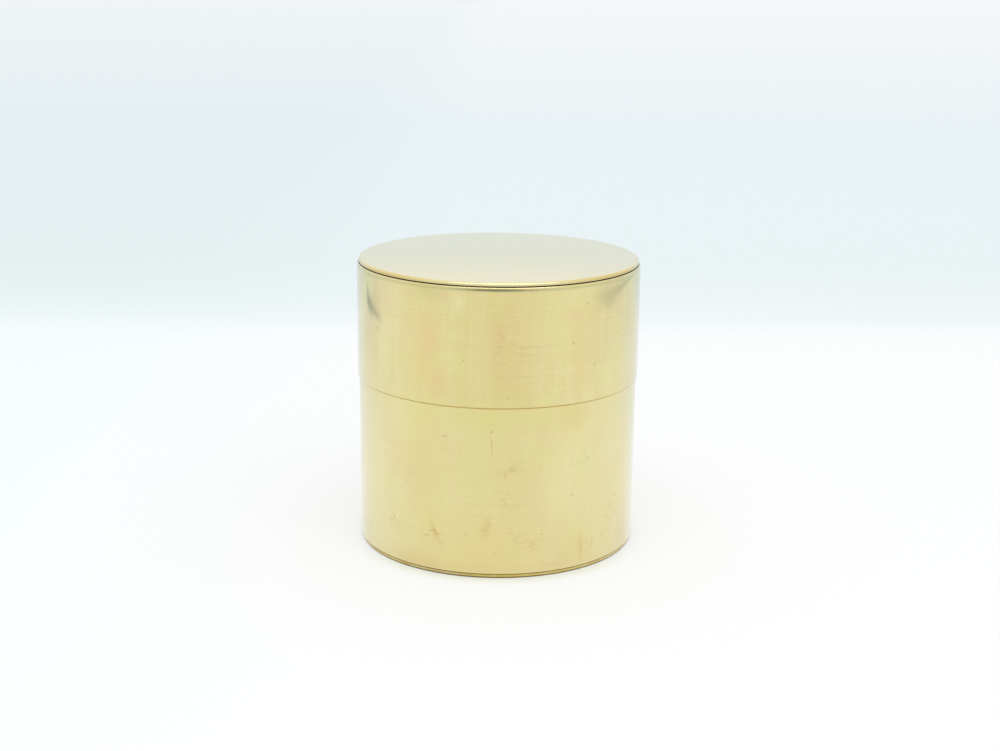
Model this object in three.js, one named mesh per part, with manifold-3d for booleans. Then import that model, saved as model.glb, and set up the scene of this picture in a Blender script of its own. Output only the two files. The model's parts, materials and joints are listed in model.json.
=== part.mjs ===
// A round tin in raw brass: a double-walled canister, a lid that slides down over the canister's
// neck, and a dished inner lid with a small turned knob. Millimetres, +Z up, origin at the middle
// of the base. Each rolled tube is closed by a soldered seam at the back (+Y).

import * as THREE from "three";
import { mergeVertices, toCreasedNormals } from "three/addons/utils/BufferGeometryUtils.js";
import Module from "manifold-3d";

const wasm = await Module();
wasm.setup();

// Overall sizes
const lidDiameter = 82;
const bodyWallHeight = 47.85;
const lidWallHeight = 33.3;

// Sheet thicknesses
const brassSheet = 0.5;
const sleeveSheet = 0.4;
const linerSheet = 0.3;
const floorSheet = 0.4;
const panSheet = 0.4;

// Clearances: radial in a soldered lap, between faces that rest on each other, round the neck,
// round the inner lid and round the knob's spigot
const solderGap = 0.1;
const seatGap = 0.05;
const slideGap = 0.1;
const panGap = 0.15;
const spigotGap = 0.1;

// Soldered seam of a rolled tube, and the softened edge of a cut sheet
const seamWidth = 0.8;
const seamGap = 0.05;
const edgeRound = 0.15;

// Lid: the top lies on the liner's end, so that a groove stays open between its edge and the
// rounded-in end of the wall, and its collar fits in the liner
const grooveHeight = 0.25;
const topRimInset = 0.45;
const topEdgeFace = 0.3;
const topCorner = 0.7;
const crownHeight = 0.25;
const topCollar = 3;
const shoulderDrop = 1.6;
const shoulderLand = 0.05;
const linerLift = 0.6;

// Base: a rim that shows below the wall, a ring that the tin stands on and a dished middle
const baseRimHeight = 1.25;
const baseRimInset = 0.2;
const baseRimRound = 0.5;
const baseCollar = 2;
const standingRing = 6;
const dishSlope = 1.5;
const dishDepth = 0.5;

// Inner lid: a flange on the neck's rim, and a dish deep enough for the knob
const lidHeadroom = 1.35;
const flangeInset = 0.1;
const panRound = 1.2;
const knobRise = 1.5;

// Knob, turned in one piece with the spigot that is peened over a washer below the dish
const knobFootRadius = 4.5;
const knobFootHeight = 0.9;
const knobWaistRadius = 2.8;
const knobWaistHeight = 4.5;
const knobHeadRadius = 6.2;
const knobHeadHeight = 3.6;
const knobEdge = 0.9;
const spigotRadius = 1.5;
const washerWidth = 2.4;
const washerThickness = 0.6;
const peenOverhang = 0.8;
const peenHeight = 0.7;

// Sides of the large round pieces and of the small turned ones
const tubeSides = 72;
const knobSides = 32;

// Radii, from the lid's wall inwards to the sleeve, and out again to the canister's wall
const lidOuter = lidDiameter / 2;
const lidInner = lidOuter - brassSheet;
const linerOuter = lidInner - solderGap;
const linerInner = linerOuter - linerSheet;
const sleeveOuter = linerInner - slideGap;
const sleeveInner = sleeveOuter - sleeveSheet;
const bodyInner = sleeveOuter + solderGap;
const bodyOuter = bodyInner + brassSheet;

// Heights above the table
const wallFoot = baseRimHeight + seatGap;
const wallTop = wallFoot + bodyWallHeight;
const lidFoot = wallTop + seatGap;

// Heights above the lid's lower edge
const topSeat = lidWallHeight + grooveHeight;
const linerTop = topSeat - seatGap;
const topRimTop = topSeat + topEdgeFace + topCorner;
const collarFoot = topSeat - topCollar;
const overallHeight = lidFoot + topRimTop + crownHeight;

// The neck ends just under the collar inside the lid, with the inner lid's flange between them
const neckTop = lidFoot + collarFoot - lidHeadroom - panSheet - seatGap;
const panSeat = neckTop + seatGap;

// Heights above the neck's rim
const knobFoot = panSheet + knobRise - knobFootHeight - knobWaistHeight - knobHeadHeight;
const panFloorTop = knobFoot - seatGap;
const panFloorUnder = panFloorTop - panSheet;
const washerTop = panFloorUnder - seatGap;
const washerFoot = washerTop - washerThickness;
const spigotHole = spigotRadius + spigotGap;

// Finishes: rolled and pressed brass, turned brass, tinned sheet, and the dull line of solder
const sheetBrass = { color: 0xd9c47e, metalness: 1, roughness: 0.3 };
const turnedBrass = { color: 0xd6bd72, metalness: 1, roughness: 0.22 };
const tinnedSheet = { color: 0xc9cac6, metalness: 1, roughness: 0.35 };
const dullSolder = { color: 0xa9a697, metalness: 1, roughness: 0.5 };

const samePoint = 0.001;
const out = 0;
const up = Math.PI / 2;
const inward = Math.PI;
const down = -Math.PI / 2;

function point(r, z) {
  return new THREE.Vector2(r, z);
}

// Points of an elliptical arc about (r, z), from one angle of the profile's plane to another.
function arc(r, z, across, rise, from, to, steps) {
  const points = [];
  for (let i = 0; i <= steps; i++) {
    const angle = from + ((to - from) * i) / steps;
    points.push(point(r + across * Math.cos(angle), z + rise * Math.sin(angle)));
  }
  return points;
}

// A body turned about Z. The profile runs anticlockwise, outside upwards, and closes on itself
// unless it starts and ends on the axis. Where a rounding takes up a whole edge, two of its points
// meet and one is kept. A flat side faces the back.
function turned(profile, sides) {
  const outline = profile.filter((here, i) => i === 0 || here.distanceTo(profile[i - 1]) > samePoint);
  if (outline[0].x > 0) {
    outline.push(outline[0]);
  }
  const geometry = new THREE.LatheGeometry(outline, sides, Math.PI / sides);
  return geometry.rotateX(Math.PI / 2);
}

function solidOf(geometry) {
  const bare = geometry.clone();
  bare.deleteAttribute("normal");
  bare.deleteAttribute("uv");
  const merged = mergeVertices(bare);
  const mesh = new wasm.Mesh({
    numProp: 3,
    vertProperties: merged.attributes.position.array,
    triVerts: new Uint32Array(merged.index.array),
  });
  return new wasm.Manifold(mesh);
}

function geometryOf(solid) {
  const { vertProperties, triVerts } = solid.getMesh();
  const geometry = new THREE.BufferGeometry();
  geometry.setAttribute("position", new THREE.BufferAttribute(vertProperties, 3));
  geometry.setIndex(new THREE.BufferAttribute(triVerts, 1));
  return toCreasedNormals(geometry, up / 3);
}

// A slab behind the axis, deeper and taller than any tube.
function backSlab(width) {
  const slab = new THREE.BoxGeometry(width, lidDiameter, 2 * overallHeight);
  return solidOf(slab.translate(0, lidDiameter / 2, 0));
}

// A rolled tube as its sheet, open along the back, and the solder that closes the joint.
function seamedTube(profile) {
  const tube = solidOf(turned(profile, tubeSides));
  return {
    sheet: geometryOf(tube.subtract(backSlab(seamWidth))),
    seam: geometryOf(tube.intersect(backSlab(seamWidth - 2 * seamGap))),
  };
}

function named(name, geometry, finish) {
  const mesh = new THREE.Mesh(geometry, new THREE.MeshStandardMaterial(finish));
  mesh.name = name;
  return mesh;
}

// The softened edge fits within half of the width that it is cut on.
function edgeWithin(width) {
  return Math.min(edgeRound, width / 2);
}

// Plain sheet tube with its two outer edges softened.
function tubeProfile(inner, outer, foot, top) {
  const soft = edgeWithin(outer - inner);
  const edge = outer - soft;
  return [
    point(inner, foot),
    ...arc(edge, foot + soft, soft, soft, down, out, 2),
    ...arc(edge, top - soft, soft, soft, out, up, 2),
    point(inner, top),
  ];
}

// The lid's wall: its upper end is rounded in to a narrow land below the groove.
function lidWallProfile() {
  const soft = edgeWithin(brassSheet);
  const land = lidInner + shoulderLand;
  return [
    point(lidInner, 0),
    ...arc(lidOuter - soft, soft, soft, soft, down, out, 2),
    ...arc(land, lidWallHeight - shoulderDrop, lidOuter - land, shoulderDrop, out, up, 4),
    point(lidInner, lidWallHeight),
  ];
}

// Height of a low crown at radius r: highest on the axis, level with its edge at the edge radius.
function crown(r, edgeRadius) {
  return crownHeight * (1 - (r / edgeRadius) ** 2);
}

// The lid's top: crowned sheet, a rounded edge that shows, and a collar inside the liner.
function lidTopProfile() {
  const rimRadius = lidOuter - topRimInset;
  const collarOuter = linerInner - solderGap;
  const collarInner = collarOuter - brassSheet;
  const soft = edgeWithin(rimRadius - collarOuter);
  const crownRadius = rimRadius - topCorner;
  const underEdge = topRimTop - brassSheet;
  const crownSteps = [0.75, 0.5, 0.25, 0];
  return [
    point(0, underEdge + crownHeight),
    point(collarInner / 2, underEdge + crown(collarInner / 2, crownRadius)),
    point(collarInner, underEdge),
    point(collarInner, collarFoot),
    point(collarOuter, collarFoot),
    point(collarOuter, topSeat),
    ...arc(rimRadius - soft, topSeat + soft, soft, soft, down, out, 2),
    ...arc(crownRadius, topRimTop - topCorner, topCorner, topCorner, out, up, 4),
    ...crownSteps.map((share) =>
      point(share * crownRadius, topRimTop + crown(share * crownRadius, crownRadius)),
    ),
  ];
}

// The base: rim below the wall, collar inside the sleeve, and a dish that lifts its middle clear.
function baseProfile() {
  const rimRadius = bodyOuter - baseRimInset;
  const collarOuter = sleeveInner - solderGap;
  const collarInner = collarOuter - brassSheet;
  const collarTop = baseRimHeight + baseCollar;
  const ringInner = collarOuter - standingRing;
  const dishRadius = ringInner - dishSlope;
  const soft = edgeWithin(rimRadius - collarOuter);
  const round = Math.min(baseRimRound, baseRimHeight - soft);
  return [
    point(0, dishDepth),
    point(dishRadius, dishDepth),
    point(ringInner, 0),
    ...arc(rimRadius - round, round, round, round, down, out, 3),
    ...arc(rimRadius - soft, baseRimHeight - soft, soft, soft, out, up, 2),
    point(collarOuter, baseRimHeight),
    point(collarOuter, collarTop),
    point(collarInner, collarTop),
    point(collarInner, brassSheet),
    point(ringInner, brassSheet),
    point(dishRadius, dishDepth + brassSheet),
    point(0, dishDepth + brassSheet),
  ];
}

// The inner bottom lies on the base's collar and closes the sleeve.
function innerBottomProfile() {
  const foot = baseRimHeight + baseCollar + seatGap;
  const radius = sleeveInner - solderGap;
  return [
    point(0, foot),
    point(radius, foot),
    point(radius, foot + floorSheet),
    point(0, foot + floorSheet),
  ];
}

// The inner lid's dish: floor with the spigot's hole, round corner, wall and flange.
function panProfile() {
  const wallOuter = sleeveInner - panGap;
  const wallInner = wallOuter - panSheet;
  const flange = sleeveOuter - flangeInset;
  const insideRound = panRound - panSheet;
  const halfSheet = panSheet / 2;
  const lip = Math.min(halfSheet, (flange - wallOuter) / 2);
  const cornerR = wallOuter - panRound;
  const cornerZ = panFloorUnder + panRound;
  return [
    point(spigotHole, panFloorUnder),
    ...arc(cornerR, cornerZ, panRound, panRound, down, out, 4),
    point(wallOuter, 0),
    ...arc(flange - lip, halfSheet, lip, halfSheet, down, up, 4),
    point(wallInner, panSheet),
    ...arc(cornerR, cornerZ, insideRound, insideRound, out, down, 4),
    point(spigotHole, panFloorTop),
  ];
}

// The knob: foot on the dish, waist to pinch, domed head, and the peened spigot below.
function knobProfile() {
  const peenTop = washerFoot - seatGap;
  const peenRadius = spigotRadius + peenOverhang;
  const waistRise = knobWaistHeight / 2;
  const waistZ = knobFoot + knobFootHeight + waistRise;
  const headFoot = waistZ + waistRise;
  const rimZ = headFoot + knobEdge;
  const domeRise = knobHeadHeight - knobEdge;
  const footFlare = knobFootRadius - knobWaistRadius;
  const headFlare = knobHeadRadius - knobWaistRadius;
  return [
    point(0, peenTop - peenHeight),
    ...arc(0, peenTop, peenRadius, peenHeight, down / 2, out, 3),
    point(spigotRadius, peenTop),
    point(spigotRadius, knobFoot),
    point(knobFootRadius, knobFoot),
    ...arc(knobFootRadius, waistZ, footFlare, waistRise, 3 * up, inward, 4),
    ...arc(knobHeadRadius, waistZ, headFlare, waistRise, inward, up, 4),
    ...arc(0, rimZ, knobHeadRadius, domeRise, out, up, 6).slice(0, -1),
    point(0, rimZ + domeRise),
  ];
}

function washerProfile() {
  const rim = spigotHole + washerWidth;
  return [
    point(spigotHole, washerFoot),
    point(rim, washerFoot),
    point(rim, washerTop),
    point(spigotHole, washerTop),
  ];
}

function buildCanister() {
  const wall = seamedTube(tubeProfile(bodyInner, bodyOuter, wallFoot, wallTop));
  const sleeve = seamedTube(tubeProfile(sleeveInner, sleeveOuter, wallFoot, neckTop));
  const canister = new THREE.Group();
  canister.add(
    named("body_wall", wall.sheet, sheetBrass),
    named("body_seam", wall.seam, dullSolder),
    named("base_plate", turned(baseProfile(), tubeSides), sheetBrass),
    named("inner_sleeve", sleeve.sheet, tinnedSheet),
    named("sleeve_seam", sleeve.seam, dullSolder),
    named("inner_bottom", turned(innerBottomProfile(), tubeSides), tinnedSheet),
  );
  return canister;
}

function buildInnerLid() {
  const innerLid = new THREE.Group();
  innerLid.position.z = panSeat;
  innerLid.add(
    named("inner_lid_pan", turned(panProfile(), tubeSides), sheetBrass),
    named("inner_lid_knob", turned(knobProfile(), knobSides), turnedBrass),
    named("knob_washer", turned(washerProfile(), knobSides), turnedBrass),
  );
  return innerLid;
}

function buildLid() {
  const wall = seamedTube(lidWallProfile());
  const liner = seamedTube(tubeProfile(linerInner, linerOuter, linerLift, linerTop));
  const lid = new THREE.Group();
  lid.position.z = lidFoot;
  lid.add(
    named("lid_wall", wall.sheet, sheetBrass),
    named("lid_seam", wall.seam, dullSolder),
    named("lid_top", turned(lidTopProfile(), tubeSides), sheetBrass),
    named("lid_liner", liner.sheet, tinnedSheet),
    named("liner_seam", liner.seam, dullSolder),
  );
  return lid;
}

const tin = new THREE.Group();
tin.add(buildCanister(), buildInnerLid(), buildLid());

export default tin;
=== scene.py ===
import json
import math

import bpy
import numpy as np
from mathutils import Matrix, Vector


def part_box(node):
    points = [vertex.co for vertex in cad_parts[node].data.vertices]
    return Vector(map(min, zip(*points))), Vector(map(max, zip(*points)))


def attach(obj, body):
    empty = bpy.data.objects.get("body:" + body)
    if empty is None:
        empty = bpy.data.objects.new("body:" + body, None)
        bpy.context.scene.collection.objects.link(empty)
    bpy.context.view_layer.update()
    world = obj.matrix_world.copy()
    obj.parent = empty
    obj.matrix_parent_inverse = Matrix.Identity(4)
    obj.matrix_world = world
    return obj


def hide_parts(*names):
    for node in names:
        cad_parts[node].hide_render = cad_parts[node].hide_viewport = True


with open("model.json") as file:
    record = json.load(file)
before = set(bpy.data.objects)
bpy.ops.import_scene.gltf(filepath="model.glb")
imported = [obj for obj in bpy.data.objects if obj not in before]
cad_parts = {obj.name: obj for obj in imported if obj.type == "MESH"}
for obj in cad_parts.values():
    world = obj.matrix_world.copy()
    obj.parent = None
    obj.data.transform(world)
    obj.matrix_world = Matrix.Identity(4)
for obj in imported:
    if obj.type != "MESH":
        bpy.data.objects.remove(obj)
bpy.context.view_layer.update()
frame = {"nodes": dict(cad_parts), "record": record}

mm = 0.001
record = frame["record"]
bodyOf = {node: body for body, nodes in record["behaviour"]["bodies"].items() for node in nodes}


# colours are written as they look on screen, 0 to 255, and stored as linear light
def tone(red, green, blue):
    share = np.array((red, green, blue)) / 255
    linear = np.where(share > 0.04045, ((share + 0.055) / 1.055) ** 2.4, share / 12.92)
    return (*linear.tolist(), 1.0)


# camera: fitted to the tin's outline, looking down a little, in a 1000 x 751 frame
camera = {
    "place": (0.8 * mm, -453.4 * mm, 166.8 * mm),
    "lookDown": 14.70,  # degrees
    "swing": 0.013,
    "roll": 0.61,
    "lens": 57.14,  # focal length and sensor width in millimetres
    "sensor": 36,
    "clip": 10 * mm,
}


def placeCamera(spec):
    # axes of the view: right and up in the image, turned by the roll about the line of sight
    down = math.radians(spec["lookDown"])
    swing = math.radians(spec["swing"])
    roll = math.radians(spec["roll"])
    right = np.array((math.cos(swing), math.sin(swing), 0))
    ahead = np.array((-math.sin(swing), math.cos(swing), 0))
    up = ahead * math.sin(down) + np.array((0, 0, math.cos(down)))
    back = np.array((0, 0, math.sin(down))) - ahead * math.cos(down)
    turn = np.eye(4)
    turn[:3, 0] = math.cos(roll) * right + math.sin(roll) * up
    turn[:3, 1] = math.cos(roll) * up - math.sin(roll) * right
    turn[:3, 2] = back
    turn[:3, 3] = spec["place"]
    data = bpy.data.cameras.new("camera")
    data.sensor_fit = "HORIZONTAL"
    data.sensor_width = spec["sensor"]
    data.lens = spec["lens"]
    data.clip_start = spec["clip"]
    made = bpy.data.objects.new("camera", data)
    made.matrix_world = Matrix(turn.tolist())
    bpy.context.scene.collection.objects.link(made)
    bpy.context.scene.camera = made


placeCamera(camera)
bpy.context.scene.view_settings.view_transform = "Standard"
print("camera placed")


# one socket of a node tree, with arithmetic that adds Math nodes
class Wire:
    def __init__(self, tree, socket=None):
        self.tree = tree
        self.socket = socket

    # any node: its type, its settings, then the values or links of its sockets
    def node(self, kind, settings=None, inputs=None, output=0):
        made = self.tree.nodes.new(kind)
        for name, value in (settings or {}).items():
            if name == "stops":
                self.setStops(made.color_ramp, value)
            else:
                setattr(made, name, value)
        for key, value in (inputs or {}).items():
            if isinstance(value, Wire):
                self.tree.links.new(value.socket, made.inputs[key])
            else:
                made.inputs[key].default_value = value
        return Wire(self.tree, made.outputs[output]) if len(made.outputs) else None

    def setStops(self, ramp, stops):
        while len(ramp.elements) < len(stops):
            ramp.elements.new(0.5)
        for element, (place, colour) in zip(ramp.elements, stops):
            element.position = place
            element.color = colour

    def maths(self, operation, first, second=0.0):
        return self.node("ShaderNodeMath", {"operation": operation}, {0: first, 1: second})

    def __add__(self, other):
        return self.maths("ADD", self, other)

    def __sub__(self, other):
        return self.maths("SUBTRACT", self, other)

    def __rsub__(self, other):
        return self.maths("SUBTRACT", other, self)

    def __mul__(self, other):
        return self.maths("MULTIPLY", self, other)

    def __truediv__(self, other):
        return self.maths("DIVIDE", self, other)

    def __pow__(self, other):
        return self.maths("POWER", self, other)

    __radd__ = __add__
    __rmul__ = __mul__

    # 0 below low, 1 above high, smooth between them
    def rise(self, low, high):
        span = {"Value": self, "From Min": low, "From Max": high}
        return self.node("ShaderNodeMapRange", {"interpolation_type": "SMOOTHSTEP"}, span)

    # this value as the share of the second colour, laid over the first or multiplied with it
    def tint(self, first, second, blend="MIX"):
        kind = {"data_type": "RGBA", "blend_type": blend}
        return self.node("ShaderNodeMix", kind, {0: self, 6: first, 7: second}, 2)

    # this vector times, or plus, three numbers
    def stretched(self, x, y, z):
        return self.node("ShaderNodeVectorMath", {"operation": "MULTIPLY"}, {0: self, 1: (x, y, z)})

    def shifted(self, x, y, z):
        return self.node("ShaderNodeVectorMath", {"operation": "ADD"}, {0: self, 1: (x, y, z)})

    def noise(self, scale, detail=2.0, rough=0.5):
        inputs = {"Vector": self, "Scale": scale, "Detail": detail, "Roughness": rough}
        return self.node("ShaderNodeTexNoise", {}, inputs)

    # noise of a spot (x, y, along) drawn out into lines: slow in x and y, quick across the lines
    def drawnLines(self, x, y, along, slow, quick, detail=2.0, rough=0.5):
        return self.joined(x * slow, y * slow, along * quick).noise(1, detail, rough)

    def parts(self):
        return [self.node("ShaderNodeSeparateXYZ", {}, {0: self}, axis) for axis in range(3)]

    def joined(self, x, y, z):
        return self.node("ShaderNodeCombineXYZ", {}, {0: x, 1: y, 2: z})


# an emptied node tree to build in
def cleared(block):
    block.use_nodes = True
    block.node_tree.nodes.clear()
    return Wire(block.node_tree)


# rays that show the pale studio rather than plain light: seen, mirrored or seen through
def shownRays(start):
    seen = start.node("ShaderNodeLightPath", {}, {}, "Is Camera Ray")
    mirrored = start.node("ShaderNodeLightPath", {}, {}, "Is Glossy Ray")
    through = start.node("ShaderNodeLightPath", {}, {}, "Is Transmission Ray")
    return start.maths("MAXIMUM", start.maths("MAXIMUM", seen, mirrored), through)


# floor: white paper that fades to a pale blue-grey far behind the tin
paper = {
    "halfSide": 12.0,
    "depthScale": 453.4 * mm,  # depth at which the fade is half way
    "lift": 0.56,  # share of the paper's own whiteness in what is seen
    "leftNear": tone(250, 255, 255),  # cooler on the left, near and far
    "leftFar": tone(250, 252, 252),
    "leftDepth": (150 * mm, 400 * mm),  # how far back near turns to far
    "leftReach": (20 * mm, 200 * mm),
    "front": tone(248, 245, 234),  # what the tin mirrors of the paper in front of it
    "frontDepth": (50 * mm, 140 * mm),
    "frontSpread": (0.15, 1.5),  # distance to the side over distance ahead
    "leastAhead": 10 * mm,  # the least distance ahead that the spread is worked out with
    "beside": tone(242, 244, 244),  # and of the paper beside and behind it
    "besideDepth": (0, 200 * mm),
    "foot": tone(246, 247, 234),  # warm light thrown on the paper close to the tin, in front
    "footReach": (41 * mm, 45.5 * mm),
    "footFront": (15 * mm, 35 * mm),
    "fade": (
        (0.32, tone(255, 255, 255)),
        (0.36, tone(254, 255, 255)),
        (0.39, tone(246, 251, 252)),
        (0.42, tone(241, 248, 249)),
        (0.49, tone(238, 246, 247)),
        (0.73, tone(240, 248, 250)),
        (0.84, tone(247, 251, 253)),
        (0.93, tone(252, 254, 255)),
    ),
}


def layFloor(spec):
    side = spec["halfSide"]
    mesh = bpy.data.meshes.new("floor")
    corners = [(-side, -side, 0), (side, -side, 0), (side, side, 0), (-side, side, 0)]
    mesh.from_pydata(corners, [], [(0, 1, 2, 3)])
    floor = bpy.data.objects.new("floor", mesh)
    bpy.context.scene.collection.objects.link(floor)

    material = bpy.data.materials.new("whitePaper")
    start = cleared(material)
    x, y = start.node("ShaderNodeTexCoord", {}, {}, "Object").parts()[:2]
    ahead = 0.0 - y
    mirrored = start.node("ShaderNodeLightPath", {}, {}, "Is Glossy Ray")
    direct = 1 - mirrored
    depth = start.maths("MAXIMUM", y, 0.0)
    gone = depth / (depth + spec["depthScale"])
    fade = start.node("ShaderNodeValToRGB", {"stops": spec["fade"]}, {0: gone})
    left = depth.rise(*spec["leftDepth"]).tint(spec["leftNear"], spec["leftFar"])
    colour = ((0.0 - x).rise(*spec["leftReach"]) * direct).tint(fade, left, "MULTIPLY")
    foot = 1 - ((x * x + y * y) ** 0.5).rise(*spec["footReach"])
    colour = (foot * ahead.rise(*spec["footFront"]) * direct).tint(colour, spec["foot"], "MULTIPLY")
    spread = start.maths("ABSOLUTE", x) / start.maths("MAXIMUM", ahead, spec["leastAhead"])
    inFront = ahead.rise(*spec["frontDepth"]) * (1 - spread.rise(*spec["frontSpread"]))
    colour = (mirrored * inFront).tint(colour, spec["front"], "MULTIPLY")
    colour = (mirrored * y.rise(*spec["besideDepth"])).tint(colour, spec["beside"], "MULTIPLY")
    seen = start.node("ShaderNodeEmission", {}, {"Color": colour, "Strength": 1.0})
    lit = start.node("ShaderNodeBsdfDiffuse", {}, {"Color": colour})
    share = shownRays(start) * spec["lift"]
    surface = start.node("ShaderNodeMixShader", {}, {0: share, 1: lit, 2: seen})
    start.node("ShaderNodeOutputMaterial", {}, {"Surface": surface})
    mesh.materials.append(material)


# light: a pale room all round, and a long soft box above the tin and in front of it
room = {
    "plain": (0.848, 0.868, 0.885, 1.0),  # linear, the even light that falls on the tin
    "heights": (  # by the sine of the angle above the horizon
        (0.0, tone(231, 240, 242)),
        (0.195, tone(229, 238, 240)),
        (0.208, tone(239, 243, 240)),
        (0.2135, tone(245, 245, 236)),
        (0.218, tone(255, 248, 242)),
        (0.23, tone(255, 252, 244)),
        (1.0, tone(252, 252, 250)),
    ),
    "softBox": {"place": (0.08, -0.42, 0.85), "wide": 1.2, "deep": 0.19, "watts": 1.69},
}


def lightRoom(spec):
    world = bpy.data.worlds.new("paleRoom")
    bpy.context.scene.world = world
    start = cleared(world)
    z = start.node("ShaderNodeTexCoord", {}, {}, "Generated").parts()[2]
    height = start.node("ShaderNodeValToRGB", {"stops": spec["heights"]}, {0: z})
    seen = start.node("ShaderNodeBackground", {}, {"Color": height, "Strength": 1.0})
    plain = start.node("ShaderNodeBackground", {}, {"Color": spec["plain"], "Strength": 1.0})
    both = start.node("ShaderNodeMixShader", {}, {0: shownRays(start), 1: plain, 2: seen})
    start.node("ShaderNodeOutputWorld", {}, {"Surface": both})
    box = spec["softBox"]
    data = bpy.data.lights.new("softBox", "AREA")
    data.shape = "ELLIPSE"
    data.size = box["wide"]
    data.size_y = box["deep"]
    data.energy = box["watts"]
    lamp = bpy.data.objects.new("softBox", data)
    place = np.array(box["place"])
    back = place / np.linalg.norm(place)
    right = np.cross((0, 1, 0), back)
    right /= np.linalg.norm(right)
    turn = np.eye(4)
    turn[:3, :4] = np.column_stack((right, np.cross(back, right), back, place))
    lamp.matrix_world = Matrix(turn.tolist())
    lamp.visible_camera = False
    bpy.context.scene.collection.objects.link(lamp)


layFloor(paper)
lightRoom(room)
print("floor, room and soft box placed")


# reach of a CAD node: largest distance from the axis, lowest and highest point
def reachOf(node):
    mesh = frame["nodes"][node].data
    points = np.empty(len(mesh.vertices) * 3, np.float32)
    mesh.vertices.foreach_get("co", points)
    across, deep, high = points.reshape(-1, 3).T.astype(float)
    return np.hypot(across, deep).max(), high.min(), high.max()


# elliptical arc about (r, z): r + across cos a, z + rise sin a, with a in degrees
def arc(r, z, across, rise, start, end, steps=8):
    a = np.radians(np.linspace(start, end, steps + 1))
    return np.column_stack((r + across * np.cos(a), z + rise * np.sin(a)))


# meshes: points closer than this are one, and edges bent more than this are sharp
leastGap = 0.001 * mm
sharpFrom = math.radians(38)


# stretches of a profile one after another, with points that coincide kept once
def profileOf(*stretches):
    points = np.vstack([np.atleast_2d(stretch) for stretch in stretches])
    moved = np.linalg.norm(np.diff(points, axis=0), axis=1) > leastGap
    return points[np.r_[True, moved]]


# faces between neighbours on a grid of point numbers; a row that is one point gives triangles
def gridFaces(index, closeRows, closeColumns):
    rows = np.vstack((index, index[:1])) if closeRows else index
    full = np.hstack((rows, rows[:, :1])) if closeColumns else rows
    quads = np.stack((full[:-1, :-1], full[:-1, 1:], full[1:, 1:], full[1:, :-1]), -1).reshape(-1, 4)
    low = quads[:, 0] == quads[:, 1]
    high = quads[:, 2] == quads[:, 3]
    return [quads[~(low | high)], quads[low][:, [0, 2, 3]], quads[high][:, :3]]


# a mesh object from points and groups of faces, riding on its node's body in the node's stead
def putPiece(name, node, points, faces, material):
    loops = np.concatenate([group.ravel() for group in faces])
    sizes = np.concatenate([np.full(len(group), group.shape[1]) for group in faces])
    used, loops = np.unique(loops, return_inverse=True)
    mesh = bpy.data.meshes.new(name)
    mesh.vertices.add(len(used))
    mesh.vertices.foreach_set("co", points[used].astype(np.float32).ravel())
    mesh.loops.add(len(loops))
    mesh.loops.foreach_set("vertex_index", loops.astype(np.int32).ravel())
    mesh.polygons.add(len(sizes))
    mesh.polygons.foreach_set("loop_start", (np.cumsum(sizes) - sizes).astype(np.int32))
    mesh.polygons.foreach_set("use_smooth", np.ones(len(sizes), bool))
    mesh.update(calc_edges=True)
    mesh.set_sharp_from_angle(angle=sharpFrom)
    mesh.materials.append(material)
    piece = bpy.data.objects.new(name, mesh)
    bpy.context.scene.collection.objects.link(piece)
    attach(piece, bodyOf[node])
    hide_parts(node)
    print(name, "stands for", node, "with", len(sizes), "faces")


# a profile (r, z) carried round the axis: X = r sin a, Y = -r cos a, with a from -pi to pi; a slit
# keeps the ends of a rolled sheet apart at the back, where a stops short by asin(slit / 2r)
def turnedPiece(name, spec, profile, material):
    slit = spec.get("slit", 0.0)
    r, z = profile[:, :1], profile[:, 1:]
    onAxis = profile[0, 0] == 0
    turn = np.linspace(-1, 1, spec["steps"] + 1)
    if slit:
        a = turn * (np.pi - np.arcsin(slit / 2 / r))
    else:
        a = turn[:-1] * np.pi + 0 * r
    points = np.stack((r * np.sin(a), -r * np.cos(a), z + 0 * a), -1).reshape(-1, 3)
    index = np.arange(a.size).reshape(a.shape)
    if onAxis:
        index[0] = index[0, 0]
        index[-1] = index[-1, 0]
    faces = gridFaces(index, not onAxis, not slit)
    if slit:
        faces += [index[None, :, 0], index[None, ::-1, -1]]
    putPiece(name, spec["node"], points, faces, material)


# how far an edge is drawn in at a distance from its end: a quarter of an ellipse
def edgeDrop(distance, across, rise):
    share = np.clip(1 - distance / rise, 0, 1)
    return across * (1 - np.sqrt(1 - share**2))


# depth of lines pressed or turned into a face: bells exp(-((r - line) / width) squared), added up
def pressedLines(r, lines, depth, width):
    return depth * sum(np.exp(-(((r - line) / width) ** 2)) for line in lines)


# a metal's shader, with a bump from a height in metres and any further sockets
def metalSurface(start, colour, rough, height, metallic=1.0, more=None):
    bump = start.node("ShaderNodeBump", {}, {"Height": height, "Strength": 1.0, "Distance": 1.0})
    metal = {"Base Color": colour, "Roughness": rough, "Metallic": metallic, "Normal": bump}
    shader = start.node("ShaderNodeBsdfPrincipled", {}, {**metal, **(more or {})})
    start.node("ShaderNodeOutputMaterial", {}, {"Surface": shader})


# brass

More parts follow.
